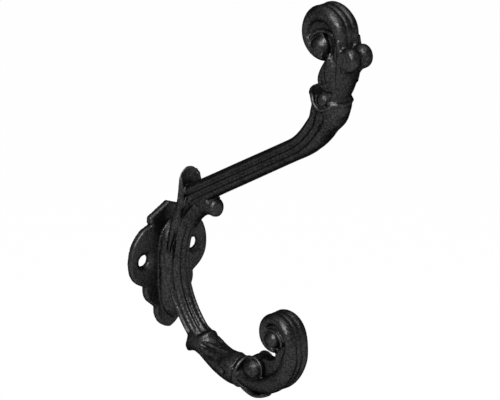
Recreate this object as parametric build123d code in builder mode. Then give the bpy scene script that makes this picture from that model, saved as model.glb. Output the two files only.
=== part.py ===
import os
from math import ceil

from build123d import *

# All sizes are in millimetres and degrees. Points of the middle plane are given as
# (out from the wall, up). The origin is on the back face, midway between the screw holes.

# Wall plate: a gabled top, a round wing at each screw and a stepped, lobed foot
PLATE_THICKNESS = 2.6
PLATE_BEVEL = 0.9
GABLE_TOP = 21.0
GABLE_SHOULDER = (9.2, 16.7)
GABLE_STEP = (9.2, 14.1)
WING_NOTCH = (7.3, 11.9)
WING_REACH = (19.4, 0.6)
FOOT_NOTCH = (12.2, -11.5)
FOOT_LOBE = (11.8, -15.2)
FOOT_LOBE_END = (9.3, -18.6)
DROP_NOTCH = (6.8, -21.6)
DROP_LOBE = (6.2, -26.2)
DROP_TIP = -31.7

SCREW_SPACING = 25.4
SCREW_RADIUS = 2.5
SINK_RADIUS = 4.4

# Foot of the stem: a long boss with straight sides that slope in, pointed at both ends
BOSS_TOP = 13.0
BOSS_SHOULDER = (5.2, 8.6)
BOSS_SIDE = (6.5, 2.0)
BOSS_SIDE_END = (6.5, -15.0)
BOSS_FOOT = (4.8, -22.4)
BOSS_BOTTOM = -27.5
BOSS_HEIGHT = 4.2
BOSS_SLOPE = 21.0

# Stem: nearest the wall at its middle, curving out above to the arm and below to the collar
STEM_MIDDLE = (7.1, -2.3)
STEM_WIDTH = 7.5
STEM_HEIGHT = 7.5
UPPER_SWEEP = (41.0, 46.0)
LOWER_SWEEP = (34.2, 58.0)

# Leaf that rises behind the root of the arm, and the leaf that curls out below it
TOP_LEAF = ((13.4, 38.4), (14.2, 32.5), (13.2, 24.0), (10.5, 14.0))
TOP_LEAF_WIDTHS = ((0.0, 3.0), (0.05, 6.2), (0.18, 9.2), (0.5, 10.8), (1.0, 8.6))
TOP_LEAF_THICKNESS = 2.4
TOP_LEAF_HOLLOW = 1.6
CURL_LEAF = ((30.1, 26.6), (25.3, 26.6), (19.3, 23.0), (13.5, 15.0))
CURL_LEAF_WIDTHS = ((0.0, 7.2), (0.18, 8.2), (0.6, 8.2), (1.0, 7.0))
CURL_LEAF_THICKNESS = 2.8
CURL_LEAF_HOLLOW = -1.6
LEAF_EDGE = 1.2

# Leaves wrapped round the lower arm: lipped where they start, waisted, full at the collar. Each row
# is an angle round the sweep, a width, how far up and down they reach and how far the petals open.
WRAP_SECTIONS = (
    (47.0, 8.0, 3.9, 4.2, 0.2),
    (50.5, 9.4, 4.2, 7.6, 0.4),
    (53.5, 10.4, 4.5, 8.4, 0.8),
    (56.5, 10.4, 5.5, 5.7, 1.0),
    (61.0, 9.6, 4.6, 4.6, 0.6),
    (75.0, 10.4, 5.3, 4.7, 0.5),
    (90.0, 11.6, 5.8, 5.4, 0.6),
)
COLLAR_RADIUS = 6.1
COLLAR_THICKNESS = 2.2
COLLAR_BEVEL = 0.7

# Upper arm: a straight run, then a bend up into a cup of petals
ARM_ROOT = (16.1, 27.8)
ARM_RISE = 32.6
ARM_RUN = 66.8
ARM_BEND = 44.0
ARM_WIDTH = 8.4
ARM_HEIGHT = 7.9
CUP_RISE = 75.0
CUP_WIDTH = 13.6
CUP_HEIGHT = 16.4
CUP_FLARE = 2.6
CUP_SET_BACK = 0.9

# Shares of a fluted bar's half width and half height: edge of a lobe, groove, bead
BAR_EDGE = (1.0, 0.56)
BAR_GROOVE = (0.78, 0.24)
BAR_BEAD = 0.92
CUP_EDGE = (0.68, 0.66)
CUP_GROOVE = (0.64, 0.46)
CUP_BEAD = 1.0

# Upper volute: the neck rises from the cup and winds back towards the wall in ever smaller turns
NECK_RISE = 73.8
NECK_LENGTH = 22.6
NECK_ROOT = 0.8
NECK_THICKNESS = 10.2
NECK_WIDTH = 11.4
VOLUTE_LEAD = (26.0, 16.2)
VOLUTE_TURNS = ((8.1, 180.0), (7.9, 90.0))
VOLUTE_WIDTH = 10.8
VOLUTE_THICKNESS = 5.4
VOLUTE_END_WIDTH = 8.4
VOLUTE_END_THICKNESS = 3.4
VOLUTE_SHELF = 7.6
VOLUTE_COIL = (88.2, 108.2)
VOLUTE_COIL_RADIUS = 5.6
VOLUTE_EYE = (86.5, 107.8)
VOLUTE_EYE_RADIUS = 3.0

# Inner coil of both scrolls: the shelf between it and the band, how far it reaches to each side, its
# lip, the floor of its hollow and its eye
COIL_SHELF = 3.0
COIL_REACH = 4.1
COIL_LIP = 0.9
COIL_FLOOR = 1.4
EYE_BARREL = 3.2
EYE_REACH = 5.4

# Leaf up the front of the neck, its tip rolled outwards
FRONT_LEAF = ((91.9, 87.5), (96.5, 96.5), (98.3, 102.4), (99.7, 105.8))
FRONT_LEAF_WIDTHS = ((0.0, 11.0), (0.4, 11.4), (0.75, 10.4), (1.0, 8.8))
FRONT_LEAF_THICKNESS = 3.2
FRONT_LEAF_HOLLOW = 0.1
FRONT_ROLL = (101.0, 106.4)
# Half the roll's outline from its middle to its end: along the roll, radius
FRONT_ROLL_OUTLINE = ((0.0, 3.1), (2.6, 4.1), (4.3, 3.5), (5.3, 0.0))

# Leaf on each side of the neck: its tip, its foot and the middles of its back and front edges
SIDE_LEAF_TIP = (93.5, 107.6)
SIDE_LEAF_FOOT = (92.1, 91.6)
SIDE_LEAF_BACK = (88.2, 97.2)
SIDE_LEAF_FRONT = (97.1, 98.4)
SIDE_LEAF_REACH = 6.2
SIDE_LEAF_BEVEL = 1.2

# Lower scroll: from the collar round to a smaller rolled end
SCROLL_START = (42.5, -35.3)
SCROLL_DIP = -16.0
SCROLL_LEAD = 2.4
SCROLL_TURNS = ((21.4, 90.0), (26.0, 14.0), (10.0, 40.0), (6.6, 156.0))
SCROLL_WIDTH = 10.8
SCROLL_THICKNESS = 5.2
SCROLL_END_WIDTH = 8.2
SCROLL_END_THICKNESS = 2.6
SCROLL_SHELF = 5.8
SCROLL_COIL = (63.0, -14.2)
SCROLL_COIL_RADIUS = 4.6
SCROLL_EYE = (62.2, -14.8)
SCROLL_EYE_RADIUS = 3.1
SCROLL_WEB = 2.4
SCROLL_WEB_NOTCH = (64.4, -21.0)
KNOB_CENTRE = (53.1, -30.0)
KNOB_RADIUS = 4.6
KNOB_REACH = 6.6
ROLL_RADIUS = 4.9
ROLL_REACH = 3.2

# Leaf under the start of the scroll
TAIL_LEAF = ((56.1, -40.4), (51.9, -41.2), (47.3, -39.8), (42.9, -37.0))
TAIL_LEAF_WIDTHS = ((0.0, 5.6), (0.25, 7.8), (0.65, 6.8), (1.0, 5.0))
TAIL_LEAF_THICKNESS = 2.2
TAIL_LEAF_HOLLOW = 0.1

# Shares of a scroll band's half width and half thickness
BAND_GROOVE = (0.30, 0.78)
BAND_LOBE = (0.64, 0.94)
BAND_EDGE = (0.92, 0.66)
BAND_SIDE = (1.0, 0.24)
BAND_COVE = (0.60, -0.40)
BAND_CREST = (0.52, -1.0)
# Share of the line that leads into a scroll at which its band starts
BAND_ROOT = 0.4

# Shares of a dome's radius at its flat cap, and of its height and radius at its shoulder
DOME_CAP = 0.42
DOME_SHOULDER = (0.62, 0.8)

# Most that a bar and a scroll band turn between one section and the next, and sections in the neck
BAR_STEP = 12.0
BAND_STEP = 24.0
NECK_STEP = 5.5

middle = Plane(origin=(0, 0, 0), x_dir=(0, -1, 0), z_dir=(-1, 0, 0))
wall = Plane(origin=(0, 0, 0), x_dir=(1, 0, 0), z_dir=(0, -1, 0))


def across(path, share):
    """The plane square to a path at a share of its length, its x across the hook."""
    return Plane(origin=path @ share, x_dir=(1, 0, 0), z_dir=path % share)


def turning(point):
    """The plane for the outline of something turned about a line across the hook at a point."""
    place = Vector(point)
    return Plane(origin=(0, -place.X, place.Y), x_dir=(1, 0, 0), z_dir=(0, -1, 0))


def blend(first, last, share):
    """A value, or each of a pair of values, part of the way from one to the other."""
    if isinstance(first, tuple):
        return tuple(blend(a, b, share) for a, b in zip(first, last))
    return first + (last - first) * share


def shares(angle, step):
    """Evenly spaced shares of a turn, no more than a step apart."""
    count = ceil(abs(angle) / step)
    return [index / count for index in range(count + 1)]


def fluted(width, height, edge, groove, bead):
    """Section of a fluted bar: a broad lobe above and below, a bead on each side."""
    half_width = width / 2
    half_height = height / 2
    edge_x = edge[0] * half_width
    edge_y = edge[1] * half_height
    groove_x = groove[0] * half_width
    groove_y = groove[1] * half_height
    bead_x = bead * half_width
    bead_y = groove_y / 2
    with BuildSketch() as section:
        with BuildLine():
            ThreePointArc((edge_x, edge_y), (0, half_height), (-edge_x, edge_y))
            Line((-edge_x, edge_y), (-groove_x, groove_y))
            Polyline((-groove_x, groove_y), (-bead_x, bead_y), (-bead_x, -bead_y), (-groove_x, -groove_y))
            Line((-groove_x, -groove_y), (-edge_x, -edge_y))
            ThreePointArc((-edge_x, -edge_y), (0, -half_height), (edge_x, -edge_y))
            Line((edge_x, -edge_y), (groove_x, -groove_y))
            Polyline((groove_x, -groove_y), (bead_x, -bead_y), (bead_x, bead_y), (groove_x, groove_y))
            Line((groove_x, groove_y), (edge_x, edge_y))
        make_face()
    return section.sketch


def bar(width, height):
    """Section of the plain fluted bar."""
    return fluted(width, height, BAR_EDGE, BAR_GROOVE, BAR_BEAD)


def petals(width, height, opening):
    """Section of a bar that is part of the way to a cup of four petals."""
    return fluted(
        width,
        height,
        blend(BAR_EDGE, CUP_EDGE, opening),
        blend(BAR_GROOVE, CUP_GROOVE, opening),
        blend(BAR_BEAD, CUP_BEAD, opening),
    )


def band(width, thickness):
    """Section of a scroll band: outer face with two lobes and a bead, coved sides, inner crest."""
    half_width = width / 2
    half_thickness = thickness / 2
    groove = (BAND_GROOVE[0] * half_width, -BAND_GROOVE[1] * half_thickness)
    lobe = (BAND_LOBE[0] * half_width, -BAND_LOBE[1] * half_thickness)
    edge = (BAND_EDGE[0] * half_width, -BAND_EDGE[1] * half_thickness)
    flank = (BAND_SIDE[0] * half_width, -BAND_SIDE[1] * half_thickness)
    cove = (BAND_COVE[0] * half_width, -BAND_COVE[1] * half_thickness)
    crest = (BAND_CREST[0] * half_width, -BAND_CREST[1] * half_thickness)
    with BuildSketch() as section:
        with BuildLine():
            Line((0, -half_thickness), groove)
            ThreePointArc(groove, lobe, edge)
            Polyline(edge, flank, cove, crest)
            mirror(about=Plane.YZ)
            Line(crest, (-crest[0], crest[1]))
        make_face()
    return section.sketch


def leaf(width, thickness, hollow):
    """Section of a leaf: a rounded back, blunt edges and a hollow face."""
    half_width = width / 2
    with BuildSketch() as section:
        with BuildLine():
            ThreePointArc((-half_width, 0), (0, -thickness), (half_width, 0))
            Line((half_width, 0), (half_width, LEAF_EDGE))
            ThreePointArc((half_width, LEAF_EDGE), (0, LEAF_EDGE - hollow), (-half_width, LEAF_EDGE))
            Line((-half_width, LEAF_EDGE), (-half_width, 0))
        make_face()
    return section.sketch


def domed(barrel_reach, barrel_radius, dome_reach, dome_radius):
    """Half outline of a turned roll: a plain barrel with a dome on each end."""
    cap = DOME_CAP * dome_radius
    shoulder = (blend(barrel_reach, dome_reach, DOME_SHOULDER[0]), DOME_SHOULDER[1] * dome_radius)
    with BuildSketch() as outline:
        with BuildLine():
            Polyline((dome_reach, 0), (dome_reach, cap), shoulder, (barrel_reach, dome_radius))
            if barrel_radius > dome_radius:
                Line((barrel_reach, dome_radius), (barrel_reach, barrel_radius))
            Line((barrel_reach, barrel_radius), (0, barrel_radius))
            mirror(about=Plane.YZ)
            Line((-dome_reach, 0), (dome_reach, 0))
        make_face()
    return outline.sketch


def leaf_sections(points, widths, thickness, hollow):
    """Leaf sections along a curve, from pairs of a share of its length and the width there."""
    with BuildLine(middle):
        spine = Spline(*points)
    widest = max(width for share, width in widths)
    placed = []
    for share, width in widths:
        swell = width / widest
        with BuildSketch(across(spine, share)) as section:
            add(leaf(width, thickness * swell, hollow * swell))
        placed.append(section.sketch)
    return placed


def coil(turn, shelf, centre, radius, eye, eye_radius):
    """What fills a scroll's last turn: a shelf, a drum hollow at both ends and a domed eye that stands in it."""
    depth = COIL_REACH - COIL_FLOOR
    with Locations(Location(turn.arc_center, (0, 90, 0))):
        Cylinder(shelf, 2 * COIL_SHELF)
    with Locations(Location((0, -centre[0], centre[1]), (0, 90, 0))):
        Cylinder(radius, 2 * COIL_REACH)
        with Locations(*[(0, 0, side * (COIL_FLOOR + depth / 2)) for side in (-1, 1)]):
            Cylinder(radius - COIL_LIP, depth, mode=Mode.SUBTRACT)
    dome = turning(eye)
    with BuildSketch(dome) as outline:
        add(domed(EYE_BARREL, eye_radius, EYE_REACH, eye_radius))
    revolve(outline.sketch, Axis(dome.origin, dome.x_dir))


def winding(lead, turns):
    """Arcs that carry on from a line of the middle plane, each tangent to the last."""
    arcs = []
    with BuildLine(middle):
        for radius, angle in turns:
            lead = JernArc(lead @ 1, lead % 1, radius, angle)
            arcs.append(lead)
    return arcs


def band_sections(lead, arcs, turns, first, last):
    """Band sections along a lead and round its winding, from the first (width, thickness) to the last."""
    whole = sum(angle for radius, angle in turns)
    turned = 0
    with BuildSketch(across(lead, BAND_ROOT)) as section:
        add(band(*first))
    placed = [section.sketch]
    for arc, (radius, angle) in zip(arcs, turns):
        steps = shares(angle, BAND_STEP)
        for share in steps if arc is arcs[-1] else steps[:-1]:
            with BuildSketch(across(arc, share)) as section:
                add(band(*blend(first, last, (turned + share * angle) / whole)))
            placed.append(section.sketch)
        turned += angle
    return placed


with BuildPart() as plate:
    with BuildSketch(wall):
        with BuildLine():
            Polyline((0, GABLE_TOP), GABLE_SHOULDER, GABLE_STEP, WING_NOTCH)
            ThreePointArc(WING_NOTCH, WING_REACH, FOOT_NOTCH)
            ThreePointArc(FOOT_NOTCH, FOOT_LOBE, FOOT_LOBE_END)
            Line(FOOT_LOBE_END, DROP_NOTCH)
            ThreePointArc(DROP_NOTCH, DROP_LOBE, (0, DROP_TIP))
            mirror(about=Plane.YZ)
        make_face()
    extrude(amount=PLATE_THICKNESS)
    chamfer(plate.faces().sort_by(Axis.Y)[0].edges(), PLATE_BEVEL)
    with BuildSketch(wall):
        with BuildLine():
            ThreePointArc((0, BOSS_TOP), BOSS_SHOULDER, BOSS_SIDE)
            Line(BOSS_SIDE, BOSS_SIDE_END)
            ThreePointArc(BOSS_SIDE_END, BOSS_FOOT, (0, BOSS_BOTTOM))
            mirror(about=Plane.YZ)
        make_face()
    extrude(amount=PLATE_THICKNESS + BOSS_HEIGHT, taper=BOSS_SLOPE)
    with Locations(wall.offset(PLATE_THICKNESS)):
        with GridLocations(SCREW_SPACING, SCREW_SPACING, 2, 1):
            CounterSinkHole(SCREW_RADIUS, SINK_RADIUS)

with BuildPart() as stem:
    with BuildLine(middle):
        above = JernArc(STEM_MIDDLE, (0, 1), UPPER_SWEEP[0], -UPPER_SWEEP[1])
        below = JernArc(STEM_MIDDLE, (0, -1), *LOWER_SWEEP)
    for share in shares(UPPER_SWEEP[1], BAR_STEP):
        with BuildSketch(across(above, share)):
            add(bar(STEM_WIDTH, STEM_HEIGHT))
    loft(ruled=True)
    for share in shares(LOWER_SWEEP[1], BAR_STEP):
        with BuildSketch(across(below, share)):
            add(bar(STEM_WIDTH, STEM_HEIGHT))
    loft(ruled=True)

with BuildPart() as wrap:
    with BuildLine(middle):
        lower = JernArc(STEM_MIDDLE, (0, -1), LOWER_SWEEP[0], WRAP_SECTIONS[-1][0])
    for angle, width, top, bottom, opening in WRAP_SECTIONS:
        with BuildSketch(across(lower, angle / WRAP_SECTIONS[-1][0])):
            with Locations((0, (top - bottom) / 2)):
                add(petals(width, top + bottom, opening))
    loft(ruled=True)

with BuildPart() as collar:
    with BuildSketch(across(lower, 1)):
        Circle(COLLAR_RADIUS)
    extrude(amount=COLLAR_THICKNESS)
    chamfer(collar.edges(), COLLAR_BEVEL)

with BuildPart() as arm:
    with BuildLine(middle):
        run = PolarLine(ARM_ROOT, ARM_RUN, ARM_RISE)
        bend = JernArc(run @ 1, run % 1, ARM_BEND, CUP_RISE - ARM_RISE)
    with BuildSketch(across(run, 0)):
        add(bar(ARM_WIDTH, ARM_HEIGHT))
    for share in shares(CUP_RISE - ARM_RISE, BAR_STEP):
        opening = share**CUP_FLARE
        size = blend((ARM_WIDTH, ARM_HEIGHT), (CUP_WIDTH, CUP_HEIGHT), opening)
        with BuildSketch(across(bend, share)):
            with Locations((0, CUP_SET_BACK * opening)):
                add(petals(*size, opening))
    loft(ruled=True)

with BuildPart() as neck:
    with BuildLine(middle) as neck_line:
        rise = PolarLine(bend @ NECK_ROOT, NECK_LENGTH, NECK_RISE)
        lead = JernArc(rise @ 1, rise % 1, *VOLUTE_LEAD)
    for share in shares(VOLUTE_LEAD[1], NECK_STEP):
        size = blend((NECK_WIDTH, NECK_THICKNESS), (VOLUTE_WIDTH, VOLUTE_THICKNESS), share)
        with BuildSketch(across(neck_line.wire(), share)):
            add(band(*size))
    loft(ruled=True)

with BuildPart() as volute:
    arcs = winding(lead, VOLUTE_TURNS)
    thick = (VOLUTE_WIDTH, VOLUTE_THICKNESS)
    thin = (VOLUTE_END_WIDTH, VOLUTE_END_THICKNESS)
    loft(band_sections(lead, arcs, VOLUTE_TURNS, thick, thin), ruled=True)
    coil(arcs[0], VOLUTE_SHELF, VOLUTE_COIL, VOLUTE_COIL_RADIUS, VOLUTE_EYE, VOLUTE_EYE_RADIUS)

with BuildPart() as scroll:
    with BuildLine(middle):
        start = PolarLine(SCROLL_START, SCROLL_LEAD, SCROLL_DIP)
    arcs = winding(start, SCROLL_TURNS)
    thick = (SCROLL_WIDTH, SCROLL_THICKNESS)
    thin = (SCROLL_END_WIDTH, SCROLL_END_THICKNESS)
    loft(band_sections(start, arcs, SCROLL_TURNS, thick, thin), ruled=True)
    coil(arcs[-1], SCROLL_SHELF, SCROLL_COIL, SCROLL_COIL_RADIUS, SCROLL_EYE, SCROLL_EYE_RADIUS)
    with BuildSketch(middle):
        with BuildLine():
            rim = ThreePointArc(*[middle.to_local_coords(arcs[0] @ share) for share in (0, 1 / 2, 1)])
            top = middle.to_local_coords(arcs[1] @ 1)
            Polyline(rim @ 1, top, SCROLL_WEB_NOTCH, KNOB_CENTRE, rim @ 0)
        make_face()
    extrude(amount=SCROLL_WEB, both=True)
    knob = turning(KNOB_CENTRE)
    with BuildSketch(knob):
        add(domed(ROLL_REACH, ROLL_RADIUS, KNOB_REACH, KNOB_RADIUS))
    revolve(axis=Axis(knob.origin, knob.x_dir))

with BuildPart() as top_leaf:
    loft(leaf_sections(TOP_LEAF, TOP_LEAF_WIDTHS, TOP_LEAF_THICKNESS, TOP_LEAF_HOLLOW), ruled=True)

with BuildPart() as curl_leaf:
    loft(leaf_sections(CURL_LEAF, CURL_LEAF_WIDTHS, CURL_LEAF_THICKNESS, CURL_LEAF_HOLLOW), ruled=True)

with BuildPart() as front_leaf:
    loft(leaf_sections(FRONT_LEAF, FRONT_LEAF_WIDTHS, FRONT_LEAF_THICKNESS, FRONT_LEAF_HOLLOW), ruled=True)
    roll = turning(FRONT_ROLL)
    with BuildSketch(roll):
        with BuildLine():
            half_roll = Polyline(*FRONT_ROLL_OUTLINE)
            mirror(about=Plane.YZ)
            Line(half_roll @ 1, -(half_roll @ 1))
        make_face()
    revolve(axis=Axis(roll.origin, roll.x_dir))

with BuildPart() as side_leaves:
    with BuildSketch(middle):
        with BuildLine():
            ThreePointArc(SIDE_LEAF_TIP, SIDE_LEAF_BACK, SIDE_LEAF_FOOT)
            ThreePointArc(SIDE_LEAF_FOOT, SIDE_LEAF_FRONT, SIDE_LEAF_TIP)
        make_face()
    extrude(amount=SIDE_LEAF_REACH, both=True)
    ends = side_leaves.faces().filter_by(Axis.X)
    chamfer(ends.edges(), SIDE_LEAF_BEVEL)

with BuildPart() as tail_leaf:
    loft(leaf_sections(TAIL_LEAF, TAIL_LEAF_WIDTHS, TAIL_LEAF_THICKNESS, TAIL_LEAF_HOLLOW), ruled=True)

bars = (plate, stem, wrap, collar, arm, neck, volute, scroll)
leaves = (top_leaf, curl_leaf, front_leaf, side_leaves, tail_leaf)
with BuildPart() as hook:
    for piece in bars + leaves:
        add(piece.part)

os.makedirs("parts", exist_ok=True)
hook.part.label = "cast_hook"
export_step(hook.part, "parts/cast_hook.step")
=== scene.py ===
import math

import bpy
import numpy as np
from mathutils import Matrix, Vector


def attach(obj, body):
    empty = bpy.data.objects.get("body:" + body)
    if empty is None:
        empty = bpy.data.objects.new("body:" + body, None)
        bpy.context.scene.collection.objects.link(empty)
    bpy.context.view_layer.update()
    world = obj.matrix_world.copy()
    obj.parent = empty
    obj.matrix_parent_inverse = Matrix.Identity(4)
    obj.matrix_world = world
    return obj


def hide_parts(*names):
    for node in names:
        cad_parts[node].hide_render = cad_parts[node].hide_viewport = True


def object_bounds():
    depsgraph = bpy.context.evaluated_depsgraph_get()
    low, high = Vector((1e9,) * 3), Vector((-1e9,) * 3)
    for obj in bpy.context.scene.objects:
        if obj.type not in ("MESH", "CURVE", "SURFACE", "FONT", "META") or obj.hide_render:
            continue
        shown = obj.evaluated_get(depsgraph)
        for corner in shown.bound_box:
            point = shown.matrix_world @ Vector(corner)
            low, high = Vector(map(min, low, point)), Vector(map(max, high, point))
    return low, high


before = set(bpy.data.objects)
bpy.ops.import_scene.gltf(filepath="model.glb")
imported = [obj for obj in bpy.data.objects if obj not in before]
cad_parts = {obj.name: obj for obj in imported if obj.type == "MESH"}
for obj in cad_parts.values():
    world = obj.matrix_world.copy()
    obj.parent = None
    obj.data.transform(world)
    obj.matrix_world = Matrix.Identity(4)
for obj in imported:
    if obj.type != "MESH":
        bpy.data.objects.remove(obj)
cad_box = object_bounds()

import openvdb
from mathutils import Vector


# The iron body. The real hook is one sand casting, so its forms melt into one another with small
# fillets. They are poured one by one into a grid of distances to the surface, in millimetres:
# x across the hook, out from the wall, up.
GRID_STEP = 0.35
BAND = 7  # grid steps each side of the surface where a form's distance is worked out
MARGIN = 3.0  # room round the hook's box


class Casting:
    """One solid, held as the distance to its surface at each point of a grid."""

    def __init__(self, low, high):
        self.first = np.floor((np.array(low) - MARGIN) / GRID_STEP).astype(int)
        last = np.ceil((np.array(high) + MARGIN) / GRID_STEP).astype(int)
        self.distance = np.full(last - self.first, BAND * GRID_STEP, np.float32)
        self.transform = openvdb.createLinearTransform(voxelSize=GRID_STEP)

    def block(self, low, high):
        """The slices of the grid that hold a box, and the index of their first point."""
        start = np.maximum(np.floor(np.array(low) / GRID_STEP).astype(int) - BAND, self.first)
        stop = np.ceil(np.array(high) / GRID_STEP).astype(int) + BAND
        stop = np.minimum(stop, self.first + self.distance.shape)
        return tuple(slice(a, b) for a, b in zip(start - self.first, stop - self.first)), start

    def places(self, low, high):
        """The slices that hold a box, and the x, out and up of their points."""
        where, start = self.block((low[0], -high[1], low[2]), (high[0], -low[1], high[2]))
        lines = [
            (np.arange(s.stop - s.start) + first) * GRID_STEP for s, first in zip(where, start)
        ]
        x, y, z = np.meshgrid(*lines, indexing="ij", sparse=True)
        return where, x, -y, z

    def shape(self, points, triangles):
        """The slices round a closed mesh, and the distances to it there."""
        grid = openvdb.FloatGrid.createLevelSetFromPolygons(
            points.astype(np.float32),
            triangles=triangles.astype(np.uint32),
            transform=self.transform,
            halfWidth=BAND,
        )
        where, start = self.block(points.min(0), points.max(0))
        form = np.empty([s.stop - s.start for s in where], np.float32)
        grid.copyToArray(form, ijk=tuple(int(i) for i in start))
        return where, form

    def merge(self, where, form, melt):
        """Adds a form, with a fillet of about that size where it meets the rest."""
        whole = self.distance[where]
        fillet = np.maximum(melt - np.abs(whole - form), 0) ** 2 / (4 * melt)
        self.distance[where] = np.minimum(whole, form) - fillet

    def carve(self, where, form, melt):
        """Takes a form away, and softens its edges by about that size."""
        whole = self.distance[where]
        fillet = np.maximum(melt - np.abs(whole + form), 0) ** 2 / (4 * melt)
        self.distance[where] = np.maximum(whole, -form) + fillet

    def add(self, solid, melt):
        self.merge(*self.shape(*solid), melt)

    def cut(self, solid, melt):
        self.carve(*self.shape(*solid), melt)


hook = Casting(*[np.array(corner) * 1000 for corner in cad_box])


# Wall plate: a thin flat plate with a gabled top, a round wing at each screw and a stepped, lobed
# foot. It is cast with the rest, its front edge rounded over.
def arc(first, middle, last, count=28):
    """Points along the circle through three points, without the last one."""
    (ax, ay), (bx, by), (cx, cy) = first, middle, last
    d = 2 * (ax * (by - cy) + bx * (cy - ay) + cx * (ay - by))
    a, b, c = ax * ax + ay * ay, bx * bx + by * by, cx * cx + cy * cy
    x = (a * (by - cy) + b * (cy - ay) + c * (ay - by)) / d
    y = (a * (cx - bx) + b * (ax - cx) + c * (bx - ax)) / d
    start = math.atan2(ay - y, ax - x)
    turn = (math.atan2(cy - y, cx - x) - start) % math.tau
    if (math.atan2(by - y, bx - x) - start) % math.tau > turn:
        turn -= math.tau
    angles = start + turn * np.arange(count) / count
    radius = math.hypot(ax - x, ay - y)
    return np.stack([x + radius * np.cos(angles), y + radius * np.sin(angles)], 1)


def curve(points, count, loop=False):
    """A smooth run of places through points, which may close on itself."""
    points = np.array(points, float)
    if loop:
        padded = np.concatenate([points[-1:], points, points[:2]])
    else:
        before, after = 2 * points[0] - points[1], 2 * points[-1] - points[-2]
        padded = np.concatenate([[before], points, [after]])
    at = np.linspace(0, len(padded) - 3, count, endpoint=not loop)
    step = np.minimum(at.astype(int), len(padded) - 4)
    t = (at - step)[:, None]
    a, b, c, d = (padded[step + i] for i in range(4))
    bend, twist = 2 * a - 5 * b + 4 * c - d, 3 * b - a - 3 * c + d
    return 0.5 * (2 * b + (c - a) * t + bend * t**2 + twist * t**3)


def mirrored(half):
    """A closed outline from its right half, which runs from top to bottom."""
    return np.concatenate([half, (half * (-1, 1))[::-1]])


def flat_distance(outline, x, z):
    """Distance from points of a plane to a closed outline, less than nothing inside it."""
    nearest = np.full(np.broadcast(x, z).shape, np.inf)
    inside = np.zeros(nearest.shape, bool)
    for (ax, az), (bx, bz) in zip(outline, np.roll(outline, -1, 0)):
        dx, dz = bx - ax, bz - az
        share = ((x - ax) * dx + (z - az) * dz) / (dx * dx + dz * dz + 1e-12)
        share = np.clip(share, 0, 1)
        nearest = np.minimum(nearest, (x - ax - share * dx) ** 2 + (z - az - share * dz) ** 2)
        if az != bz:
            inside ^= ((az > z) != (bz > z)) & (x < ax + (z - az) * dx / dz)
    return np.where(inside, -1, 1) * np.sqrt(nearest)


def rounded(a, b, radius):
    """What lies inside both of two distances, with its edge rounded to a radius."""
    a, b = a + radius, b + radius
    return np.hypot(np.maximum(a, 0), np.maximum(b, 0)) + np.minimum(np.maximum(a, b), 0) - radius


plate_thickness = 2.6
plate_edge = 1.1
gable = [(0, 21.0), (9.5, 16.7), (9.5, 14.2)]
wing = curve([
    (8.8, 13.5), (13.2, 12.0), (17.05, 8.2), (18.95, 3.6),
    (19.40, -0.8), (18.6, -5.4), (16.0, -9.0), (12.2, -11.5),
], 40)
shoulder = [(12.2, -11.5), (11.9, -15.6), (9.6, -18.9)]
foot = [(6.8, -21.6), (6.3, -26.2), (0, -31.7)]
plate_half = np.concatenate([
    gable, wing[:-1], arc(*shoulder), shoulder[-1:], arc(*foot), foot[-1:],
])
where, x, out, up = hook.places((-20, 0, -32), (20, plate_thickness, 22))
plate_rim = flat_distance(mirrored(plate_half), x, up)
plate = np.maximum(rounded(plate_rim, out - plate_thickness, plate_edge), -out)
hook.merge(where, plate, melt=0.1)


# Stem: a fluted bar, bowed so that it is nearest the wall at its middle. It grows out of a long
# almond-shaped boss on the plate, and is cast in one with both.
def course(start, heading, *moves, step=0.4):
    """Places along straight runs and tangent (radius, angle) bends: out, up and heading."""
    place, heading, found = np.array(start, float), math.radians(heading), []
    for move in moves:
        radius, angle = move if isinstance(move, tuple) else (math.inf, 0)
        angle = math.radians(angle)
        length = abs(radius * angle) if angle else move
        shares = np.linspace(0, 1, max(2, int(length / step)))
        if angle:
            side = math.copysign(radius, angle)
            middle = place + side * np.array((-math.sin(heading), math.cos(heading)))
            headings = heading + angle * shares
            spots = middle + side * np.stack([np.sin(headings), -np.cos(headings)], 1)
        else:
            headings = np.full(len(shares), heading)
            spots = place + length * shares[:, None] * (math.cos(heading), math.sin(heading))
        found.append(np.column_stack([spots, headings])[1 if found else 0:])
        place, heading = spots[-1], headings[-1]
    return np.concatenate(found)


def closed(rings, first=None, last=None):
    """A closed mesh of rings, each end fanned to a point, its ring's middle if none is given."""
    count, around = rings.shape[:2]
    first = rings[0].mean(0) if first is None else first
    last = rings[-1].mean(0) if last is None else last
    points = np.concatenate([rings.reshape(-1, 3), [first, last]])
    a = np.arange(count * around).reshape(count, around)
    b = np.roll(a, -1, 1)
    walls = [np.stack([a[:-1], b[:-1], b[1:]], -1), np.stack([a[:-1], b[1:], a[1:]], -1)]
    caps = [(b[0], a[0], len(points) - 2), (a[-1], b[-1], len(points) - 1)]
    caps = [np.stack(np.broadcast_arrays(*cap), -1) for cap in caps]
    return points, np.concatenate([part.reshape(-1, 3) for part in walls + caps])


def placed(line, sections):
    """Rings of (x, to the left of the line) sections set square to a line."""
    out, up, heading = (line[:, i, None] for i in range(3))
    x, left = sections[..., 0], sections[..., 1]
    return np.stack([x, left * np.sin(heading) - out, up + left * np.cos(heading)], -1)


def four_way(quarter, count=160):
    """A section that mirrors up, down and sideways, from its quarter, from top to side."""
    quarter = np.array(quarter)
    right = np.concatenate([quarter, (quarter * (1, -1))[-2::-1]])
    return curve(np.concatenate([right, (right * (-1, 1))[-2:0:-1]]), count, True)


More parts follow.
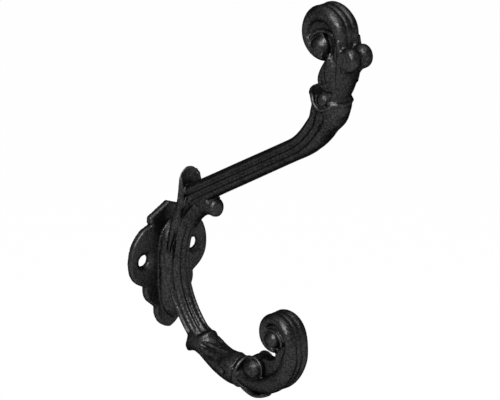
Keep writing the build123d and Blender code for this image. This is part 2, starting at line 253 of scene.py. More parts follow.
stem_middle = (7.1, -2.3)
upper_bow, lower_bow = (41.0, -46), (34.2, 57)
stem_half_width = 4.2
stem_bar = stem_half_width * four_way([
    (0, 1), (0.12, 0.99), (0.20, 0.92), (0.27, 0.77), (0.35, 0.72), (0.43, 0.78),
    (0.53, 0.86), (0.64, 0.83), (0.72, 0.70), (0.74, 0.62), (0.80, 0.55), (0.93, 0.47),
    (0.98, 0.37), (0.87, 0.26), (0.73, 0.17), (0.71, 0.07), (0.72, 0),
])
upper_stem = course(stem_middle, 90, upper_bow)[::-1] + (0, 0, math.pi)
lower_stem = course(stem_middle, -90, lower_bow)[1:]
stem_line = np.concatenate([upper_stem, lower_stem])
stem_sections = np.broadcast_to(stem_bar, (len(stem_line), *stem_bar.shape))
hook.add(closed(placed(stem_line, stem_sections)), melt=0.3)

boss_half = curve([
    (0, 13.5), (4.1, 9.4), (5.8, 2.2), (6.0, -8.0), (5.7, -15.5), (4.2, -22.4), (0, -27.5),
], 60)
boss_rise = 7.4
boss_shoulder = 4.4
boss_slope = math.radians(6)
boss_edge = 0.6
where, x, out, up = hook.places((-8, 0, -28), (8, boss_rise, 14))
flank = flat_distance(mirrored(boss_half), x, up)
wall = (flank + (out - plate_thickness) * math.tan(boss_slope)) * math.cos(boss_slope)
chamfer = (flank + out - boss_shoulder) * math.sqrt(0.5)
boss = rounded(rounded(wall, chamfer, boss_edge), out - boss_rise, boss_edge)
hook.merge(where, boss, melt=0.5)


# Screw holes, one in each wing. They are drilled through the casting and countersunk from the
# front for the two wood screws that hold the hook to a wall.
screw_place = 12.55
screw_height = -0.3
screw_radius = 2.4
sink_radius = 4.0
sink_slope = math.radians(60)
for side in (-1, 1):
    place = side * screw_place
    where, x, out, up = hook.places((place - 5, 0, -5), (place + 5, plate_thickness, 5))
    from_middle = np.hypot(x - place, up - screw_height) + 0 * out
    depth = plate_thickness - out
    cone = (from_middle - sink_radius + depth * math.tan(sink_slope)) * math.cos(sink_slope)
    hook.carve(where, np.minimum(from_middle - screw_radius, cone), melt=0.15)


# Upper arm: a fluted bar that leaves the stem with a rounded nose, runs straight out and up, then
# bends up and swells into a cup of petals with a raised rim. It is cast in one with the stem.
def travelled(line):
    """The share of a line's length at each of its places."""
    steps = np.hypot(*np.diff(line[:, :2], axis=0).T)
    return np.concatenate([[0], np.cumsum(steps)]) / steps.sum()


def between(keys, shares):
    """Sections at shares of a line, eased from one key (share, section) to the next."""
    at = np.array([share for share, section in keys])
    forms = np.array([section for share, section in keys])
    step = np.clip(np.searchsorted(at, shares, "right") - 1, 0, len(at) - 2)
    ease = np.clip((shares - at[step]) / (at[step + 1] - at[step]), 0, 1)
    ease = (ease * ease * (3 - 2 * ease))[:, None, None]
    return forms[step] * (1 - ease) + forms[step + 1] * ease


def full_turn(count):
    """Angles spaced evenly round a circle."""
    return np.arange(count) * math.tau / count


def tube(points, radii, around=14, loop=False):
    """A round bar along points in space, as thick as stated at each; a loop closes on itself."""
    points = np.asarray(points, float)
    ahead = np.roll(points, -1, 0) - np.roll(points, 1, 0)
    if not loop:
        ahead[0], ahead[-1] = points[1] - points[0], points[-1] - points[-2]
    ahead /= np.linalg.norm(ahead, axis=1)[:, None]
    side = np.zeros_like(points)
    side[0] = np.cross(ahead[0], (0.3, 0.5, 0.8))
    for i in range(1, len(points)):
        side[i] = side[i - 1] - ahead[i] * (side[i - 1] @ ahead[i])
    side /= np.linalg.norm(side, axis=1)[:, None]
    cos, sin = (wave(full_turn(around))[:, None] for wave in (np.cos, np.sin))
    ring = side[:, None] * cos + np.cross(ahead, side)[:, None] * sin
    rings = points[:, None] + ring * np.broadcast_to(radii, len(points))[:, None, None]
    return closed(np.concatenate([rings, rings[:1]]) if loop else rings)


def ball(centre, sizes, side=1, count=24):
    """An egg-shaped form of three half sizes, x, out and up, on one side of the hook."""
    polar = np.linspace(0, math.pi, count + 1)[1:-1, None]
    angles = full_turn(2 * count)
    x, y, z = np.sin(polar) * np.cos(angles), -np.sin(polar) * np.sin(angles), np.cos(polar)
    rings = np.stack(np.broadcast_arrays(x, y, z), -1)
    centre = np.array((side * centre[0], -centre[1], centre[2]))
    top = np.array((0, 0, sizes[2]))
    return closed(rings * sizes + centre, centre + top, centre - top)


def drawn_in(ring, middle, share):
    """A ring moved a share of the way towards a point."""
    return ring * (1 - share) + middle * share


arm_start, arm_heading = (15.8, 27.6), 32.6
arm_run, arm_bend, cup_past = 67.2, (44.0, 42.4), 3.0
arm_line = course(arm_start, arm_heading, arm_run, arm_bend, cup_past)
arm_length = arm_run + arm_bend[0] * math.radians(arm_bend[1])
along = travelled(arm_line) * (arm_length + cup_past)
arm_bar = four_way([
    (0, 1), (0.30, 0.99), (0.60, 0.92), (0.82, 0.76), (0.93, 0.60), (0.94, 0.49),
    (0.86, 0.39), (0.78, 0.30), (0.79, 0.22), (0.87, 0.13), (0.95, 0.05), (0.96, 0),
])
cup_bar = four_way([
    (0, 1), (0.24, 0.975), (0.46, 0.89), (0.65, 0.76), (0.78, 0.63), (0.87, 0.49),
    (0.93, 0.37), (0.965, 0.26), (0.985, 0.17), (0.997, 0.08), (1.0, 0),
])
half_way_bar = arm_bar * 0.5 + cup_bar * 0.5
arm_sections = between([
    (0, arm_bar * (4.3, 4.45) + (0, 0.05)),
    (22, arm_bar * (4.2, 4.25) + (0, 0.1)),
    (arm_run - 3, arm_bar * (4.2, 4.1) + (0, 0.1)),
    (arm_run + 18, arm_bar * (5.2, 5.15) + (0, 0.3)),
    (arm_run + 25.5, half_way_bar * (6.4, 6.7) + (0, 0.2)),
    (arm_length - 3, cup_bar * (7.1, 8.1) + (0, 1.4)),
    (arm_length + cup_past, cup_bar * (6.7, 7.4) + (0, 2.6)),
], along)
nose_length, nose_tip = 1.4, 0.02
nose = np.clip(along / nose_length, 0, 1)
arm_sections *= np.sqrt(nose * (2 - nose) * (1 - nose_tip) + nose_tip)[:, None, None]
arm_rings = placed(arm_line, arm_sections)

# The cup's rim dips over each cheek: its height past the end of the arm, at angles from the wall
# side round to the front. The rings of the arm's last stretch are drawn along to meet it.
rim_angles = [0, 44, 56, 66, 78, 90, 104, 120, 135, 146, 155, 168, 180]
rim_heights = [-2.0, -1.8, -1.4, -1.9, -3.6, -4.5, -4.0, -2.3, -0.8, -0.3, -0.3, -0.3, -0.3]
rim_stretch, rim_slack = 14, 0.1
round_cup = np.degrees(np.arctan2(np.abs(cup_bar[:, 0]), cup_bar[:, 1]))
drawn = np.clip((along - arm_length) / rim_stretch + 1, 0, 1)[:, None]
sought = np.minimum(along[:, None], arm_length)
sought = sought + drawn * np.interp(round_cup, rim_angles, rim_heights)
sought = np.minimum(sought, along[-1])[along <= arm_length + rim_slack]
row = np.clip(np.searchsorted(along, sought) - 1, 0, len(along) - 2)
share = ((sought - along[row]) / (along[row + 1] - along[row]))[..., None]
column = np.arange(len(cup_bar))
rings = arm_rings[row, column] * (1 - share) + arm_rings[row + 1, column] * share
cup_middle = rings[-1].mean(0) + (0, 0, 1.6)
cup_lip = drawn_in(rings[-1], cup_middle, 0.14)
hook.add(closed(np.concatenate([rings, cup_lip[None]]), last=cup_middle), melt=0.3)
hook.add(tube(drawn_in(rings[-1], cup_middle, 0.02), 0.75, loop=True), melt=0.3)
hook.add(ball((0, 93.0, 88.4), (6.0, 3.2, 1.9)), melt=0.5)
for side in (-1, 1):
    hook.add(ball((4.4, 89.6, 88.2), (2.1, 2.6, 3.2), side), melt=0.3)


# Neck and upper volute: the bar narrows, rises out of the cup and winds back towards the wall. Its
# outer face has two lobes with a bead between them; its sides are sunk round a ridge, a hollow and
# a domed eye. All of it is cast.
def two_way(half, count=160):
    """A section that is the same on both sides, from its right half, from outer face to inner."""
    half = np.array(half)
    return curve(np.concatenate([half, (half * (-1, 1))[-2:0:-1]]), count, True)


def ribboned(line, sizes):
    """The ribbon along a line, from (share, (half width, half thickness)) sizes."""
    keys = [(share, ribbon * size) for share, size in sizes]
    return closed(placed(line, between(keys, travelled(line))))


def in_space(points, x):
    """Places of the middle plane, moved to one side of it."""
    return np.stack([np.full(len(points), x), -points[:, 0], points[:, 1]], 1)


def taper(points, start, *middle, end):
    """Radii along points, from the first, some (place, radius) pairs and the last."""
    places, radii = zip((0, start), *middle, (len(points) - 1, end))
    return np.interp(np.arange(len(points)), places, radii)


def flank_places(side, low, high):
    """The grid's places on one side of the hook, between two (out, up) corners."""
    near, far = sorted((side * 1, side * 7))
    return hook.places((near, *low), (far, *high))


def turned(centre, right, squash=1.0, around=64):
    """A form turned about a line across the hook, from its right half's (x, radius) pairs."""
    wheel = full_turn(around)
    wheel = np.stack([0 * wheel, -squash * np.cos(wheel), np.sin(wheel)], 1)
    middle = np.array((0, -centre[0], centre[1]))
    profile = [(-x, r) for x, r in right[::-1] if x] + right
    return closed(np.array([middle + (x, 0, 0) + r * wheel for x, r in profile]))


def disc(centre, radius, half_width, edge):
    """A disc across the hook with eased edges."""
    ease = edge * 0.3
    return turned(centre, [
        (half_width - edge, radius),
        (half_width - ease, radius - ease),
        (half_width, radius - edge),
    ])


ribbon = two_way([
    (0, -0.95), (0.11, -0.93), (0.19, -0.80), (0.25, -0.77), (0.33, -0.91), (0.44, -1.0),
    (0.60, -0.97), (0.75, -0.82), (0.88, -0.56), (0.97, -0.22), (1.0, 0.10), (0.98, 0.40),
    (0.90, 0.76), (0.76, 0.94), (0.58, 1.0), (0.25, 1.0), (0, 1.0),
])
neck_line = course((89.5, 83.2), 73.8, 22.2, (26.0, 16.2))
neck_sizes = [(0, (4.9, 4.6)), (0.55, (4.9, 3.4)), (1, (5.3, 1.8))]
hook.add(ribboned(neck_line, neck_sizes), melt=0.4)
volute_line = course(neck_line[-1, :2], 90, (8.3, 90), (8.3, 90), (7.5, 105))
volute_sizes = [
    (0, (5.3, 1.8)), (0.14, (5.5, 2.4)), (0.38, (5.6, 2.7)), (0.66, (5.6, 1.8)), (1, (5.5, 1.8)),
]
hook.add(ribboned(volute_line, volute_sizes), melt=0.3)
hook.add(disc((88.6, 112.2), 8.0, 3.2, 0.6), melt=1.6)
volute_ridge = curve([
    (81.9, 107.6), (83.2, 110.4), (85.3, 112.4), (88.0, 113.8), (91.3, 114.1),
    (94.1, 113.0), (95.4, 110.4), (95.8, 106.0), (95.2, 100.0),
], 60)
volute_ridge_radii = taper(volute_ridge, 0.5, (12, 0.75), (45, 0.75), end=0.6)
volute_hollow = curve([
    (87.6, 112.2), (90.2, 113.0), (92.9, 112.2), (94.4, 110.0), (94.6, 106.6),
    (93.0, 104.6), (90.4, 105.0), (90.0, 108.4), (89.0, 110.6),
], 60, True)
volute_hollow_floor, hollow_edge = 1.4, 0.3
for side in (-1, 1):
    hook.add(tube(in_space(volute_ridge, side * 4.1), volute_ridge_radii), melt=0.5)
    where, x, out, up = flank_places(side, (83, 103), (95, 114))
    hollow = flat_distance(volute_hollow, out, up)
    hook.carve(where, rounded(hollow, volute_hollow_floor - side * x, hollow_edge), melt=0.4)
    hook.add(ball((2.6, 86.5, 107.5), (3.2, 3.5, 3.6), side), melt=1.0)


# Leaf up the front of the neck, its tip rolled outwards into lobes, and a leaf on each side of the
# neck, ribbed and curled at its back edge. All are cast in one with the neck.
def flowing(points, count=60):
    """A smooth line through points of the middle plane: out, up and heading."""
    spots = curve(points, count)
    slope = np.gradient(spots, axis=0)
    return np.column_stack([spots, np.arctan2(slope[:, 1], slope[:, 0])])


def blade(line, widths, thickness, bow, around=40):
    """A leaf along a line: half widths, thicknesses and leftward bows, at shares of the line."""
    keys = (widths, thickness, bow)
    half, thick, bows = (np.interp(travelled(line), *zip(*key))[:, None] for key in keys)
    x, face = np.cos(full_turn(around)), np.sin(full_turn(around))
    face = face * np.sqrt(np.maximum(1 - np.abs(x) ** 3, 0) * 0.6 + 0.4)
    return closed(placed(line, np.stack([half * x, thick / 2 * face + bows * (1 - x**2)], -1)))


roll_middle = (101.2, 106.2)
front_line = flowing([
    (91.6, 85.5), (94.7, 91.2), (97.0, 96.4), (98.6, 100.6), (100.0, 104.0), roll_middle,
])
hook.add(blade(
    front_line,
    [(0, 4.8), (0.3, 5.3), (0.7, 5.2), (1, 5.0)],
    [(0, 3.2), (1, 3.0)],
    [(0, -0.4), (1, -0.5)],
), melt=0.4)
front_edge = curve([
    (97.1, 112.4), (97.7, 108.9), (97.5, 105.2), (97.3, 101.4), (97.1, 97.7), (96.9, 95.0),
], 40)
front_crease = front_edge - (1.0, 0)
edge_radii = taper(front_edge, 0.7, (30, 0.8), end=0.4)
crease_radii = taper(front_crease, 0.3, (8, 0.55), end=0.5)
for side in (-1, 1):
    hook.cut(tube(in_space(front_crease, side * 5.6), crease_radii), melt=0.3)
    hook.add(tube(in_space(front_edge, side * 5.0), edge_radii), melt=0.4)
roll_right = [
    (0, 3.3), (0.5, 3.4), (1.2, 3.9), (2.2, 4.35), (3.5, 4.4), (4.5, 4.1), (5.2, 3.5), (5.5, 2.7),
]
hook.add(turned(roll_middle, roll_right, squash=0.88), melt=1.7)
hook.add(ball((0, 99.0, 102.4), (4.6, 2.4, 3.4)), melt=1.6)

side_leaf = curve([
    (93.4, 107.5), (91.2, 104.4), (88.5, 100.0), (87.4, 96.3), (88.4, 93.4),
    (92.2, 92.0), (95.3, 93.3), (96.7, 96.7), (96.1, 102.1), (94.6, 105.8),
], 60, True)
side_leaf_face, side_leaf_root, side_leaf_edge = 6.1, 2, 1.7
leaf_rib = curve([(93.4, 105.5), (92.6, 101.5), (92.8, 97.5), (94.4, 94.0)], 24)
leaf_groove = leaf_rib - (1.2, 0)
curl_pit = curve([
    (90.0, 98.6), (91.4, 97.8), (91.4, 96.2), (90.1, 95.4), (89.2, 96.2), (89.9, 97.0),
], 24)
for side in (-1, 1):
    where, x, out, up = flank_places(side, (87, 91), (98, 109))
    slab = np.maximum(side * x - side_leaf_face, side_leaf_root - side * x)
    leaf = rounded(flat_distance(side_leaf, out, up), slab, side_leaf_edge)
    hook.merge(where, leaf, melt=0.3)
    hook.cut(tube(in_space(leaf_groove, side * 6.3), 0.5), melt=0.4)
    hook.add(tube(in_space(leaf_rib, side * 5.8), 0.6), melt=0.4)
    hook.cut(tube(in_space(curl_pit, side * 6.2), taper(curl_pit, 0.35, end=0.75)), melt=0.3)


# Top leaf, a hollow blade that stands up behind the root of the arm. Its edges run down as strips
# beside the stem, each with a groove between it and the stem, into the boss.
top_line = flowing([(11.6, 14.0), (13.4, 23.0), (14.4, 30.0), (14.3, 35.0), (13.6, 38.8)])
hook.add(blade(
    top_line,
    [
        (0, 4.2), (0.3, 5.2), (0.6, 5.9), (0.75, 5.8), (0.86, 5.2), (0.93, 4.2), (0.98, 2.4),
        (1, 1.0),
    ],
    [(0, 4.5), (0.45, 4.5), (0.65, 3.0), (0.8, 2.0), (1, 1.4)],
    [(0, 0.6), (0.5, 1.5), (0.9, 1.3), (1, 0.1)],
), melt=0.35)
strip_groove = curve([
    (10.4, 12.0), (9.5, 7.6), (8.3, 0.5), (7.6, -6.8), (7.9, -13.4), (9.4, -17.9),
], 40)
groove_radii = taper(strip_groove, 0.3, (8, 0.75), (30, 0.75), end=0.3)
leaf_strip = curve([
    (6.6, 2.5), (7.4, 6.6), (8.7, 11.2), (10.4, 16.5), (12.3, 21.5), (14.1, 26.5), (14.7, 31.5),
    (14.5, 35.5),
], 40)
strip_radii = taper(leaf_strip, 0.3, (14, 1.6), (28, 1.3), end=0.4)
for side in (-1, 1):
    hook.cut(tube(in_space(strip_groove, side * 3.8), groove_radii), melt=0.3)
for side in (-1, 1):
    hook.add(tube(in_space(leaf_strip, side * 4.1), strip_radii), melt=1.0)


# Curled leaf, which grows from the stem below the arm, bends out under it and ends in a blunt,
# flared tip. It is cast in one with the stem.
curl_line = flowing([(14.4, 16.6), (18.0, 21.2), (22.2, 24.5), (26.4, 26.4), (30.8, 26.9)])
curl_wide = [(0, 3.4), (0.5, 3.7), (0.80, 3.6), (0.90, 3.5), (0.95, 3.1), (0.98, 2.4), (1, 1.4)]
curl_tall = [(0, 3.2), (0.35, 3.0), (0.60, 2.8), (0.80, 3.1), (0.90, 3.5), (0.96, 3.2), (1, 2.0)]
curl_rise = [(0, 0), (0.3, 0.4), (0.6, 0.8), (0.85, 0.3), (1, 0)]
wide, tall, rise = (
    np.interp(travelled(curl_line), *zip(*keys))[:, None]
    for keys in (curl_wide, curl_tall, curl_rise)
)
curl_turn = full_turn(48)
curl_sections = np.stack([wide * np.cos(curl_turn), (tall + rise) * np.sin(curl_turn) + rise], -1)
hook.add(closed(placed(curl_line, curl_sections)), melt=0.4)
curl_crest = curve([(21.8, 25.2), (23.2, 27.6), (25.0, 28.8), (27.4, 29.4)], 24)
for side in (-1, 1):
    hook.add(tube(in_space(curl_crest, side * 2.8), taper(curl_crest, 0.5, end=0.8)), melt=0.5)


# Lower arm: the stem's lower end is wrapped in leaves, lipped where they start, waisted, then full
# where a ring collar holds them. Leaves and collar are cast on it, not separate.
lower_line = course(stem_middle, -90, (lower_bow[0], 93))
wrap_start = 46.2
wrap_line = lower_line[np.degrees(lower_line[:, 2]) + 90 > wrap_start]
wrap_angle = np.degrees(wrap_line[:, 2]) + 90
# Half sizes of the leaves: angle along the stem's bow, to the sides, upwards and downwards
wrap_sizes = np.array([
    (wrap_start, 3.9, 3.7, 3.9), (48.0, 4.4, 3.7, 6.2), (50.0, 5.0, 3.7, 9.7),
    (52.6, 5.2, 4.0, 10.2), (54.2, 5.3, 5.4, 7.8), (56.4, 5.2, 6.1, 5.8), (60.7, 4.9, 4.9, 4.9),
    (66.7, 4.9, 5.1, 5.1), (75.5, 5.3, 6.1, 5.5), (86.7, 5.7, 7.0, 5.8), (93.0, 5.6, 6.6, 5.4),
])
wrap_wide, wrap_up, wrap_down = (
    np.interp(wrap_angle, wrap_sizes[:, 0], sizes)[:, None] for sizes in wrap_sizes[:, 1:].T
)


def wrap_ring(round_it, lift=0.0):
    """Sections of the leaves at each angle of the wrap, at angles round it from its top."""
    tall = np.where(np.cos(round_it) > 0, wrap_up, wrap_down) + lift
    return np.stack([(wrap_wide + lift) * np.sin(round_it), tall * np.cos(round_it)], -1)


def over_wrap(keys, side, lift):
    """Places over the leaves, from (angle along the wrap, angle round it) pairs."""
    keys = np.array(keys, float)
    chosen = (wrap_angle >= keys[0, 0]) & (wrap_angle <= keys[-1, 0])
    round_it = np.radians(np.interp(wrap_angle, *keys.T))[:, None] * side
    return placed(wrap_line, wrap_ring(round_it, lift))[chosen, 0]


hook.add(closed(placed(wrap_line, wrap_ring(full_turn(120)))), melt=0.3)
folds = [
    [(58, 66), (60.5, 58), (63.5, 50), (70.5, 38), (80, 27)],
    [(62.5, 100), (66, 84), (72, 70), (78, 60)],
]
leaf_edges = [
    [(59.5, 50), (63.8, 36), (72.8, 22), (79, 15)],
    [(60, 74), (63, 76), (69, 65), (76, 54)],
]
for side in (-1, 1):
    for fold in folds:
        path = over_wrap(fold, side, 0.15)
        hook.cut(tube(path, taper(path, 0.5, (6, 1.15), end=0.3)), melt=0.5)
    for leaf_edge in leaf_edges:
        path = over_wrap(leaf_edge, side, -0.1)
        hook.add(tube(path, taper(path, 0.6, (8, 0.9), end=0.3)), melt=0.5)
    swell = over_wrap([(77, 58), (91, 66)], side, -1.5)
    hook.add(tube(swell, taper(swell, 1.5, (8, 2.6), end=2.2)), melt=0.8)
    pit = over_wrap([(79.5, 82), (87.5, 88)], side, 0.35)
    hook.cut(tube(pit, taper(pit, 0.5, (6, 1.7), end=0.6)), melt=0.6)

collar_middle = np.array((44.1, -35.6))
collar_tilt = math.radians(-8)
collar_half_width, collar_half_height = 5.2, 5.8
collar_turn = full_turn(120)
collar_axis = np.array((-math.sin(collar_tilt), math.cos(collar_tilt)))
collar_side = collar_middle + collar_half_height * np.sin(collar_turn)[:, None] * collar_axis
collar_ring = in_space(collar_side, collar_half_width * np.cos(collar_turn))
hook.add(tube(collar_ring, 0.95, loop=True), melt=0.3)


# Lower scroll: from the collar it sweeps out and up and rolls over into a domed end. A thin web
# fills the inside of its curve, and a knob in a thin ring marks where it starts. All are cast.
scroll_line = course(
    (42.5, -35.3), -16, 2.4, (21.6, 90), (26.0, 15), (9.4, 39), (7.0, 156), (5.0, 96)
)
scroll_sizes = [
    (0, (5.2, 2.5)), (0.3, (5.5, 3.4)), (0.46, (5.5, 3.2)), (0.60, (5.3, 1.7)), (0.8, (5.1, 2.0)),
    (1, (4.8, 1.6)),
]
hook.add(ribboned(scroll_line, scroll_sizes), melt=0.3)
web = curve([
    (44, -36), (50, -38.4), (56, -38), (62, -34), (66, -29), (69, -22), (68.5, -15.5),
    (65.0, -17.4), (63.5, -19.6), (63.3, -21.6), (62.4, -23.3), (60.0, -24.6), (56, -25.2),
    (50, -28.0),
], 70, True)
web_half_width, web_edge = 2.4, 0.3
where, x, out, up = hook.places((-3, 43, -40), (3, 70, -14))
web_form = rounded(flat_distance(web, out, up), np.abs(x) - web_half_width, web_edge)
hook.merge(where, web_form, melt=0.5)
hook.add(disc((63.8, -12.3), 5.4, 2.9, 0.5), melt=1.2)
knob_middle = np.array((53.1, -29.9))
hook.add(disc(knob_middle, 4.6, 3.3, 2.0), melt=0.4)
knob_turn = full_turn(120)
knob_ring = 4.4 * np.stack([np.cos(knob_turn), np.sin(knob_turn)], 1) + knob_middle
knob_dome = (2.4, *(knob_middle - (0.9, 0.5)))
scroll_ridge = curve([
    (58.0, -14.2), (59.3, -12.2), (61.4, -11.0), (63.7, -10.8), (66.3, -11.9), (67.7, -13.7),
    (68.0, -16.2),
], 40)
scroll_ridge_radii = taper(scroll_ridge, 0.4, (12, 0.7), (30, 0.7), end=0.4)
scroll_hollow = curve([
    (61.0, -12.6), (63.6, -12.0), (65.6, -12.9), (66.8, -14.6), (66.8, -16.8), (64.6, -17.8),
    (62, -16),
], 40, True)
scroll_hollow_floor = 1.6
for side in (-1, 1):
    hook.add(tube(in_space(scroll_ridge, side * 3.4), scroll_ridge_radii), melt=0.5)
    where, x, out, up = flank_places(side, (60, -19), (68, -11))
    hollow = flat_distance(scroll_hollow, out, up)
    hook.carve(where, rounded(hollow, scroll_hollow_floor - side * x, hollow_edge), melt=0.4)
    hook.add(ball((2.3, 62.3, -15.0), (3.0, 3.4, 3.4), side), melt=0.3)
    hook.add(tube(in_space(knob_ring, side * 3.4), 0.55, loop=True), melt=0.3)
    hook.add(ball(knob_dome, (4.2, 4.2, 4.2), side), melt=0.25)


# Tail leaf, which lies under the start of the scroll and lifts its blunt tip clear of it. It is
# cast in one with the scroll and the collar.
tail_line = flowing([(42.6, -37.2), (46.8, -39.3), (51.2, -40.9), (54.6, -41.1), (57.6, -39.7)])
hook.add(blade(
    tail_line,
    [(0, 4.4), (0.4, 5.0), (0.75, 4.6), (0.92, 3.4), (1, 1.8)],
    [(0, 2.8), (1, 2.6)],
    [(0, -0.2), (1, 0.0)],
), melt=0.35)


# Skin of the casting, drawn from the grid, with its back planed flat against the wall. Flat
# stretches get larger faces. An attribute tells its proud edges from its hollows.
flat_ease = 0.04
where, x, out, up = hook.places((-20, 0, -43), (20, 1, 23))
hook.distance[where] = np.maximum(hook.distance[where], -out)
grid = openvdb.FloatGrid(BAND * GRID_STEP)
grid.transform = hook.transform
grid.copyFromArray(hook.distance, ijk=tuple(int(i) for i in hook.first))
points, triangles, quads = grid.convertToPolygons(0.0, flat_ease)
faces = triangles[:, ::-1].tolist() + quads[:, ::-1].tolist()


def blurred(field, reach):
    """A field averaged over a box of that many points each way, twice."""
    for axis in (0, 1, 2, 0, 1, 2):
        sums = np.cumsum(np.insert(field, 0, 0, axis), axis, dtype=np.float64)
        size = field.shape[axis]
        top = np.minimum(np.arange(size) + reach + 1, size)
        low = np.maximum(np.arange(size) - reach, 0)
        counts = (top - low).reshape([-1 if a == axis else 1 for a in range(3)])
        sums = np.take(sums, top, axis) - np.take(sums, low, axis)
        field = (sums / counts).astype(np.float32)
    return field


def sampled(field, points):
    """A field's value at points, read between its grid points."""
    at = points / GRID_STEP - hook.first
    low = np.clip(np.floor(at).astype(int), 0, np.array(field.shape) - 2)
    share = at - low
    total = 0
    for corner in np.ndindex(2, 2, 2):
        weight = np.prod(np.where(corner, share, 1 - share), axis=1)
        total = total + weight * field[tuple((low + corner).T)]
    return total


proud_reach = 3
proud = sampled(blurred(hook.distance, proud_reach), points).astype(np.float32)
mesh = bpy.data.meshes.new("hook_casting")
mesh.from_pydata((points / 1000).tolist(), [], faces)
mesh.attributes.new("proud", "FLOAT", "POINT").data.foreach_set("value", proud)
mesh.polygons.foreach_set("use_smooth", np.ones(len(mesh.polygons), bool))
mesh.update()
casting = bpy.data.objects.new("hook_casting", mesh)
bpy.context.scene.collection.objects.link(casting)


# Finish: bare sand-cast iron, blackened and waxed. The sand leaves a fine grain with paler specks,
# the proud edges are rubbed lighter and smoother, and the hollows are duller, with painted shade
# that makes them nearly black.
class Socket:
    """A node's output, so that maths on values is written as plain expressions."""

    def __init__(self, tree, output):
        self.tree, self.output = tree, output

    def node(self, kind, settings, **inputs):
        """Another node of the same tree: its type, its settings, then its sockets."""
        made = self.tree.nodes.new(kind)
        for name, value in settings.items():
            setattr(made, name, value)
        for name, value in inputs.items():
            numbered = name[1:].isdigit()
            socket = made.inputs[int(name[1:]) if numbered else name.replace("_", " ")]
            if isinstance(value, Socket):
                self.tree.links.new(value.output, socket)
            else:
                socket.default_value = value
        return made

    def out(self, made, name=0):
        return Socket(self.tree, made.outputs[name])

    def maths(self, operation, a, b):
        return self.out(self.node("ShaderNodeMath", {"operation": operation}, _0=a, _1=b))

    def __add__(self, other):
        return self.maths("ADD", self, other)

    def __sub__(self, other):
        return self.maths("SUBTRACT", self, other)

    def __mul__(self, other):
        return self.maths("MULTIPLY", self, other)

    def __radd__(self, other):
        return self.maths("ADD", other, self)

    def __rsub__(self, other):
        return self.maths("SUBTRACT", other, self)

    def __rmul__(self, other):
        return self.maths("MULTIPLY", other, self)

    def between(self, low, high):
        """0 at low and below, 1 at high and above."""
        smooth = {"interpolation_type": "SMOOTHSTEP"}
        made = self.node("ShaderNodeMapRange", smooth, Value=self, From_Min=low, From_Max=high)
        return self.out(made)

    def mix(self, first, second):
        """A colour from the first to the second, by this value."""
        made = self.node("ShaderNodeMix", {"data_type": "RGBA"}, _0=self, _6=first, _7=second)
        return self.out(made, 2)


iron = bpy.data.materials.new("black_iron")
iron.use_nodes = True
iron_tree = iron.node_tree
iron_shader = iron_tree.nodes["Principled BSDF"]
place = Socket(iron_tree, iron_tree.nodes.new("ShaderNodeTexCoord").outputs["Object"])


def noise(scale, detail, roughness=0.5):
    """A noise over the casting, of about that many waves to the metre."""
    return place.out(place.node(
        "ShaderNodeTexNoise", {}, Vector=place, Scale=scale, Detail=detail, Roughness=roughness
    ))


deep_black = (0.021, 0.021, 0.0215, 1)
worn_black = (0.035, 0.035, 0.035, 1)
grain_grey = (0.062, 0.062, 0.062, 1)
rubbed_grey = (0.09, 0.09, 0.09, 1)
# Painted shade: the near-black that stands in for the shade in the hollows.
painted_shade_black = (0.006, 0.006, 0.006, 1)
rim_tint = (0.1, 0.1, 0.1, 1)
bump_height = 0.00016
edge = place.out(place.node("ShaderNodeAttribute", {"attribute_name": "proud"}), "Fac")
rubbed = edge.between(0.25, 0.9)
# Painted shade: this mask of the hollows darkens their colour to stand in for shade, and also makes
# them rougher.
hollows_painted_shade = edge.between(-0.15, -0.7)
sand = noise(1500.0, 2.0)
speck = noise(700.0, 3.0, 0.6)
wave = noise(260.0, 2.0)
cloud = noise(120.0, 3.0)
tone = cloud.between(0.3, 0.7).mix(deep_black, worn_black)
tone = sand.between(0.42, 0.66).mix(tone, grain_grey)
tone = (rubbed * speck.between(0.35, 0.6)).mix(tone, rubbed_grey)
# Painted shade: the hollows are darkened to nearly black.
tone = hollows_painted_shade.mix(tone, painted_shade_black)
gloss = 0.40 + 0.08 * speck.between(0.3, 0.7) + 0.10 * hollows_painted_shade - 0.04 * rubbed
height = 0.55 * sand + 0.75 * speck + 2.0 * wave
grain = place.node("ShaderNodeBump", {}, Strength=1.0, Distance=bump_height, Height=height)
for name, value in (("Base Color", tone), ("Roughness", gloss), ("Normal", place.out(grain))):
    iron_tree.links.new(value.output, iron_shader.inputs[name])
iron_shader.inputs["Metallic"].default_value = 1.0
iron_shader.inputs["Specular Tint"].default_value = rim_tint
mesh.materials.append(iron)
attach(casting, "root")
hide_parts("cast_hook")


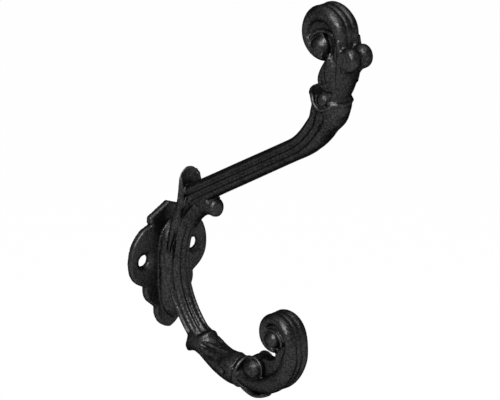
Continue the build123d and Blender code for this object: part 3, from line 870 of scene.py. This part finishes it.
# Studio: a wide pale floor well below the hook, white to the eye but for the hook's soft shadow,
# two soft lamps and a long lens.
floor_reach, floor_level = 25.0, -0.16
floor_corners = [
    (a * floor_reach, b * floor_reach, floor_level) for a, b in ((-1, -1), (1, -1), (1, 1), (-1, 1))
]
floor_mesh = bpy.data.meshes.new("floor")
floor_mesh.from_pydata(floor_corners, [], [(0, 1, 2, 3)])
floor = bpy.data.objects.new("floor", floor_mesh)
bpy.context.scene.collection.objects.link(floor)
pale = bpy.data.materials.new("pale_floor")
pale.use_nodes = True
pale_tree = pale.node_tree
floor_shader = pale_tree.nodes["Principled BSDF"]
floor_shader.inputs["Base Color"].default_value = (0.9, 0.9, 0.9, 1)
floor_shader.inputs["Roughness"].default_value = 0.9
light_path = pale_tree.nodes.new("ShaderNodeLightPath")
seen, in_metal, in_glass = (
    Socket(pale_tree, light_path.outputs[f"Is {ray} Ray"])
    for ray in ("Camera", "Glossy", "Transmission")
)
white_share = 0.97 * seen.maths("MAXIMUM", seen, seen.maths("MAXIMUM", in_metal, in_glass))
white = seen.out(seen.node("ShaderNodeEmission", {}, Color=(1, 1, 1, 1), Strength=1.0))
lit_floor = Socket(pale_tree, floor_shader.outputs[0])
blend = seen.node("ShaderNodeMixShader", {}, _0=white_share, _1=lit_floor, _2=white)
pale_tree.links.new(blend.outputs[0], pale_tree.nodes["Material Output"].inputs["Surface"])
floor_mesh.materials.append(pale)

azimuth, elevation = math.radians(-43), math.radians(23.4)
view_middle = Vector((0.0014, -0.0459, 0.0349))
view_distance = 1.1
right = Vector((math.cos(azimuth), math.sin(azimuth), 0))
back = Vector((math.sin(azimuth), -math.cos(azimuth), 0)) * math.cos(elevation)
back.z = math.sin(elevation)
above = right.cross(-back)


def aimed(name, data, offset):
    """A lamp or camera set off from the middle of the view and turned towards it."""
    made = bpy.data.objects.new(name, data)
    made.location = view_middle + offset
    made.rotation_mode = "QUATERNION"
    made.rotation_quaternion = (-offset).to_track_quat("-Z", "Y")
    bpy.context.scene.collection.objects.link(made)
    return made


for name, offset, size, watts in (
    ("front_lamp", right * -0.12 + above * 0.42 + back * 1.05, 0.55, 19.0),
    ("top_lamp", Vector((0.1, -0.1, 1.2)), 0.9, 6.0),
):
    lamp = bpy.data.lights.new(name, "AREA")
    lamp.size = size
    lamp.energy = watts
    aimed(name, lamp, offset)

picture_width = 500
picture_scale = 2.72  # points of the picture to a millimetre of the hook
camera = bpy.data.cameras.new("camera")
camera.sensor_width = 36
camera.lens = picture_scale * view_distance * 1000 / picture_width * camera.sensor_width
camera.clip_end = 60
bpy.context.scene.camera = aimed("camera", camera, back * view_distance)

world = bpy.data.worlds.new("studio")
world.use_nodes = True
sky = world.node_tree.nodes["Background"]
sky.inputs["Color"].default_value = (1, 1, 1, 1)
sky.inputs["Strength"].default_value = 0.25
bpy.context.scene.world = world
bpy.context.scene.view_settings.view_transform = "Standard"
